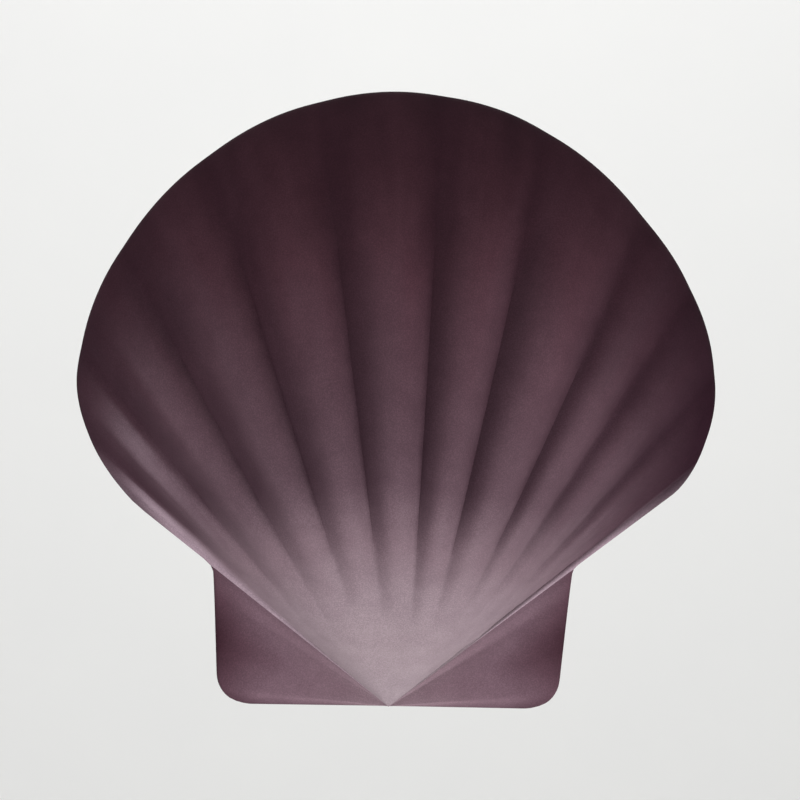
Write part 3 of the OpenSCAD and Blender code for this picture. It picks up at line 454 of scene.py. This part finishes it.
shell = {
    "umbo": (-3, -60), "rimZ": 63.6, "rimRadius": 122.8, "sideSwell": 5.5,
    "rimDip": 1.4, "dipAt": 62, "dipWidth": 9,
    "fanLeft": 141.2, "fanRight": 36.9, "cornerLeft": 31.5, "cornerRight": 16, "cornerTurn": 8.5,
    "earLeft": 69.5, "earRight": 68.1, "flareLeft": 0.04, "flareRight": 0.09, "earCorner": 12.5,
    "edgeLeft": 0.8, "edgeRight": -1.2,
    "seatGap": 24, "tilt": 0.13, "bulge": 59.8, "peak": 0.42, "wall": 3.2, "domeExtra": 0.3,
    "lip": 0.97, "alongPower": 1.8, "alongRound": 0.8, "acrossPower": 2.4, "acrossRound": 0.75,
    "hollowLift": 5, "rimInset": 1.2, "swellPower": 6,
    "earStep": 2.5, "stepWidth": 0.15,
    "earRound": 1.6, "roundFrom": 0.8, "lowRoundFrom": 0.85, "foldFlat": 0.3,
    "grooves": (141.2, 137.5, 130.5, 120, 108, 96, 84, 73.5, 61.5, 53.5, 45.5, 40, 36.9),
    "ribShare": (0.15, 0.6, 0.95, 1.1, 1.05, 1, 1, 1, 0.7, 0.65, 0.45, 0.12),
    "ribHeight": 5.5, "ribPower": 1.8, "ribCrest": 0.58, "ribEnd": 0.4, "rimScallop": 0.3,
    "ribFade": 0.7, "ribStart": 28, "ribFull": 110,
    "grooveRadius": 160, "spreadFrom": 103, "spread": 22, "spreadEnd": 40,
    "ribSteps": 14, "earSteps": 36, "earRows": 64, "rimRows": 40, "rowPower": 1.5, "weld": 0.0005,
    "edgeCuts": 3, "edgeSmoothing": 0.5, "edgePasses": 3, "smoothAngle": 50,
}


def mixed(a, b, s):
    return a + (b - a) * s


def eased(a, b, x):
    s = max(0, min(1, (x - a) / (b - a)))
    return s * s * (3 - 2 * s)


def circleReach(s, angle, radius):
    drop = math.hypot(s["umbo"][0], s["rimZ"] - s["umbo"][1])
    turn = math.radians(angle) - math.atan2(s["rimZ"] - s["umbo"][1], -s["umbo"][0])
    return drop * math.cos(turn) + math.sqrt(radius ** 2 - (drop * math.sin(turn)) ** 2)


def rimReach(s, angle):
    first = circleReach(s, angle, s["rimRadius"])
    side = (s["umbo"][0] + first * math.cos(math.radians(angle))) / s["rimRadius"]
    whole = circleReach(s, angle, s["rimRadius"] + s["sideSwell"] * min(1, abs(side)) ** s["swellPower"])
    whole -= s["rimDip"] * math.exp(-((angle - s["dipAt"]) / s["dipWidth"]) ** 2)
    left = max(0, min(1, (angle - s["fanLeft"] + s["cornerTurn"]) / s["cornerTurn"]))
    right = max(0, min(1, (s["fanRight"] + s["cornerTurn"] - angle) / s["cornerTurn"]))
    cutLeft = s["cornerLeft"] * (1 - math.sqrt(1 - left * left))
    cutRight = s["cornerRight"] * (1 - math.sqrt(1 - right * right))
    return whole - cutLeft - cutRight


def earReach(s, angle, side):
    # the angle counts up from the ear's own bottom edge
    reach, flare = (s["earLeft"], s["flareLeft"]) if side < 0 else (s["earRight"], s["flareRight"])
    up = math.radians(angle)
    slant = math.hypot(1, flare)
    across, height = reach + s["earCorner"] * (flare - slant), s["earCorner"]
    if up >= math.atan2(height - height * flare / slant, across + height / slant):
        return reach / (math.cos(up) - flare * math.sin(up))
    turn = up - math.atan2(height, across)
    centre = math.hypot(across, height)
    return centre * math.cos(turn) + math.sqrt(height ** 2 - (centre * math.sin(turn)) ** 2)


def domeHeight(s, q, t):
    if q < s["peak"]:
        along = 1 - (1 - q / s["peak"]) ** s["alongPower"]
    else:
        along = max(0, 1 - ((q - s["peak"]) / (1 - s["peak"])) ** 2) ** s["alongRound"]
    return along * (1 - min(1, abs(t) / s["lip"]) ** s["acrossPower"]) ** s["acrossRound"]


def ribRise(s, place):
    # a sharp groove at 0 and 1, the crest between them
    side = s["ribCrest"] if place < s["ribCrest"] else 1 - s["ribCrest"]
    return 1 - abs((place - s["ribCrest"]) / side) ** s["ribPower"]


def rimY(s, z):
    return s["seatGap"] + s["tilt"] * (z - s["umbo"][1])


def fanPoint(s, row, across, deep):
    # across runs from the left edge to the right, one whole number per groove
    rib = min(len(s["ribShare"]) - 1, int(across))
    place = across - rib
    middle = (s["fanLeft"] + s["fanRight"]) / 2
    half = (s["fanLeft"] - s["fanRight"]) / 2
    rough = mixed(s["grooves"][rib], s["grooves"][rib + 1], place)
    t = (rough - middle) / half
    earsLeft = earReach(s, 180 - s["fanLeft"] - s["edgeLeft"], -1) / rimReach(s, s["fanLeft"])
    earsRight = earReach(s, s["fanRight"] - s["edgeRight"], 1) / rimReach(s, s["fanRight"])
    ears = mixed(earsRight, earsLeft, (t + 1) / 2)
    if row <= 1:
        q = ears * row ** s["rowPower"]
    else:
        q = mixed(ears, 1, row - 1)
    r = q * rimReach(s, rough)
    lean = 1 / max(r, s["spreadEnd"]) - 1 / s["grooveRadius"]
    t += s["spread"] * lean * (t - (s["spreadFrom"] - middle) / half) * (1 - t * t)
    angle = middle + half * t
    rise = ribRise(s, place)
    r = q * (rimReach(s, angle) + s["rimScallop"] * rise * q)
    x = s["umbo"][0] + r * math.cos(math.radians(angle))
    z = s["umbo"][1] + r * math.sin(math.radians(angle))
    full = eased(s["ribStart"], s["ribFull"], r) * mixed(1, s["ribEnd"], eased(s["ribFade"], 1, q))
    y = rimY(s, z) + s["bulge"] * domeHeight(s, q, t) + s["ribHeight"] * s["ribShare"][rib] * rise * full
    if not deep:
        return x, y, z
    home = math.hypot(x, s["rimZ"] - z) or 1
    zIn = z + s["hollowLift"] * (1 - q) + s["rimInset"] * q * (s["rimZ"] - z) / home
    y += s["tilt"] * (zIn - z) - s["wall"] - s["domeExtra"] * domeHeight(s, q, t)
    return x - s["rimInset"] * q * x / home, y, zIn


def earPoint(s, row, out, side, deep):
    # out runs from the fan's edge to the ear's bottom edge
    q = row ** s["rowPower"]
    low = s["edgeLeft"] if side < 0 else s["edgeRight"]
    fold = 180 - s["fanLeft"] if side < 0 else s["fanRight"]
    up = (fold - low) * (1 - out)
    angle = low + up
    r = q * earReach(s, up, side)
    x = s["umbo"][0] + side * r * math.cos(math.radians(angle))
    z = s["umbo"][1] + r * math.sin(math.radians(angle))
    turned = max(eased(s["roundFrom"], 1, q), eased(s["lowRoundFrom"], 1, out))
    turned *= eased(0, s["foldFlat"], out)
    back = s["earStep"] * eased(0, s["stepWidth"], out) + s["earRound"] * turned
    if not deep:
        return x, rimY(s, z) - back, z
    across = 0 if side < 0 else len(s["ribShare"])
    outer, inner = fanPoint(s, row, across, 0), fanPoint(s, row, across, 1)
    shift = [(b - a) * (1 - out) for a, b in zip(outer, inner)]
    y = rimY(s, z) - back - s["wall"] * out + shift[1]
    return x + shift[0], y, z + shift[2]


def bentGrid(name, columns, rows, place):
    # a flat grid primitive, each point then moved to its place on the shell
    deselectAll()
    bpy.ops.mesh.primitive_grid_add(x_subdivisions=columns, y_subdivisions=rows, size=1)
    piece = bpy.context.object
    piece.name = name
    for vertex in piece.data.vertices:
        u = round((vertex.co.x + 0.5) * columns) / columns
        v = round((vertex.co.y + 0.5) * rows) / rows
        x, y, z = place(u, v)
        vertex.co = (x * mm, -y * mm, z * mm)
    return piece


def shellSkin(s, deep):
    ribs = len(s["ribShare"])
    rows = s["earRows"] + s["rimRows"]
    split = s["earRows"] / rows

    def fan(u, v):
        row = v / split if v <= split else 1 + (v - split) / (1 - split)
        return fanPoint(s, row, u * ribs, deep)

    pieces = [bentGrid("fan", ribs * s["ribSteps"], rows, fan)]
    for side in (-1, 1):
        def ear(u, v, side=side):
            return earPoint(s, v, 1 - u if side < 0 else u, side, deep)
        pieces.append(bentGrid("ear", s["earSteps"], s["earRows"], ear))
        for corner in pieces[-1].data.uv_layers.active.data:
            corner.uv.x += earStart["left"] if side < 0 else earStart["right"]
    skin = joinPieces(pieces, "skin")
    makeActive(skin)
    bpy.ops.object.mode_set(mode="EDIT")
    bpy.ops.mesh.select_all(action="SELECT")
    bpy.ops.mesh.remove_doubles(threshold=s["weld"] * mm)
    if deep:
        bpy.ops.mesh.flip_normals()
    bpy.ops.object.mode_set(mode="OBJECT")
    return skin


def makeShell(s):
    skin = joinPieces([shellSkin(s, 0), shellSkin(s, 1)], "scallopShell")
    makeActive(skin)
    bpy.ops.object.mode_set(mode="EDIT")
    bpy.ops.mesh.select_mode(type="EDGE")
    bpy.ops.mesh.select_all(action="DESELECT")
    bpy.ops.mesh.select_non_manifold()
    bpy.ops.mesh.bridge_edge_loops(number_cuts=s["edgeCuts"], interpolation="LINEAR")
    bpy.ops.mesh.select_mode(type="VERT")
    bpy.ops.mesh.vertices_smooth(factor=s["edgeSmoothing"], repeat=s["edgePasses"])
    bpy.ops.mesh.select_all(action="SELECT")
    bpy.ops.mesh.normals_make_consistent(inside=False)
    bpy.ops.object.mode_set(mode="OBJECT")
    finishPiece(skin, "shade", finishes["shell_paint"], ("shell_shade",), s["smoothAngle"])


makeShell(shell)
print("shell made")


# what the CAD holds keeps its shape and takes its finish

for part in frame["record"]["subparts"]:
    if part["node"] == "shell_shade":
        continue
    node = bpy.data.objects[part["node"]]
    node.data.materials.clear()
    node.data.materials.append(finishes[part["material_slot"]])
print("CAD pieces finished")


# the wall behind, the floor, the lights and the camera

stage = {
    "wallY": 2600, "floorZ": -1500, "size": 14000, "color": (0.86, 0.86, 0.85),
    "patchColor": (0.82, 0.82, 0.82), "patchSize": 120, "patchShare": 0.25, "roughness": 0.9,
    "worldStrength": 0.5, "worldShown": (0.9, 0.9, 0.9),
    "pixel": 0.4, "middle": (396, 560), "imageCentre": (400, 400), "imageWidth": 800, "sensor": 36,
    "rimY": -42, "distance": 1700,
}


def makeStage(s):
    backdrop = Paint("paleBackdrop")
    patches = backdrop.spread(backdrop.noise(s["patchSize"], detail=2), *patchRange)
    tone = backdrop.mix(patches * s["patchShare"], s["color"], s["patchColor"])
    material = backdrop.finish(tone, s["roughness"])
    for name, height, turn in (("wall", (0, s["wallY"], 0), 90), ("floor", (0, 0, s["floorZ"]), 0)):
        deselectAll()
        bpy.ops.mesh.primitive_plane_add(size=s["size"] * mm, location=[c * mm for c in height],
                                         rotation=(math.radians(turn), 0, 0))
        plane = bpy.context.object
        plane.name = name
        bpy.ops.object.transform_apply(location=True, rotation=True, scale=True)
        plane.data.materials.append(material)


def makeCamera(s):
    x = (s["imageCentre"][0] - s["middle"][0]) * s["pixel"]
    z = (s["middle"][1] - s["imageCentre"][1]) * s["pixel"]
    bpy.ops.object.camera_add(location=(x * mm, (s["rimY"] - s["distance"]) * mm, z * mm),
                              rotation=(math.radians(90), 0, 0))
    camera = bpy.context.object
    camera.data.sensor_width = s["sensor"]
    camera.data.lens = s["sensor"] * s["distance"] / (s["imageWidth"] * s["pixel"])
    bpy.context.scene.camera = camera


lights = {
    "keyBelow": {"place": (260, -420, -980), "aim": (0, -60, 0), "size": 350, "power": 17},
    "backdropLight": {"place": (0, 900, 1400), "aim": (0, 2600, 100), "size": 1600, "power": 24},
    "fillRight": {"place": (1000, -700, 100), "aim": (0, -40, 40), "size": 400, "power": 1.9},
    "fillLeft": {"place": (-1100, -900, 300), "aim": (0, -40, 60), "size": 500, "power": 2},
    "lowLeft": {"place": (-900, -350, -550), "aim": (-60, -60, 0), "size": 300, "power": 3},
    "lowRight": {"place": (900, -350, -550), "aim": (60, -60, 0), "size": 300, "power": 2},
    "fillFront": {"place": (-150, -1400, 600), "aim": (0, -60, 120), "size": 500, "power": 6},
}


def areaLight(name, place, aim, size, power):
    bpy.ops.object.light_add(type="AREA", location=[c * mm for c in place])
    lamp = bpy.context.object
    lamp.name = name
    lamp.data.size = size * mm
    lamp.data.energy = power
    lamp.visible_camera = False
    toAim = Vector([(a - b) * mm for a, b in zip(aim, place)])
    lamp.rotation_euler = toAim.to_track_quat("-Z", "Y").to_euler()


def makeWorld(strength, shown):
    # the camera and mirror-like surfaces see the plain colour, everything else the soft light
    world = bpy.data.worlds.new("studio")
    bpy.context.scene.world = world
    world.use_nodes = True
    nodes, links = world.node_tree.nodes, world.node_tree.links
    nodes.clear()
    path = nodes.new("ShaderNodeLightPath")
    seen = nodes.new("ShaderNodeMath")
    seen.operation = "MAXIMUM"
    soft = nodes.new("ShaderNodeBackground")
    soft.inputs["Strength"].default_value = strength
    plain = nodes.new("ShaderNodeBackground")
    plain.inputs["Color"].default_value = (*shown, 1)
    mixer = nodes.new("ShaderNodeMixShader")
    output = nodes.new("ShaderNodeOutputWorld")
    links.new(path.outputs["Is Camera Ray"], seen.inputs[0])
    links.new(path.outputs["Is Glossy Ray"], seen.inputs[1])
    links.new(seen.outputs[0], mixer.inputs[0])
    links.new(soft.outputs[0], mixer.inputs[1])
    links.new(plain.outputs[0], mixer.inputs[2])
    links.new(mixer.outputs[0], output.inputs[0])


deselectAll()
makeStage(stage)
makeCamera(stage)
makeWorld(stage["worldStrength"], stage["worldShown"])
for name, look in lights.items():
    areaLight(name, **look)
bpy.context.scene.view_settings.view_transform = "Standard"
print("stage set")
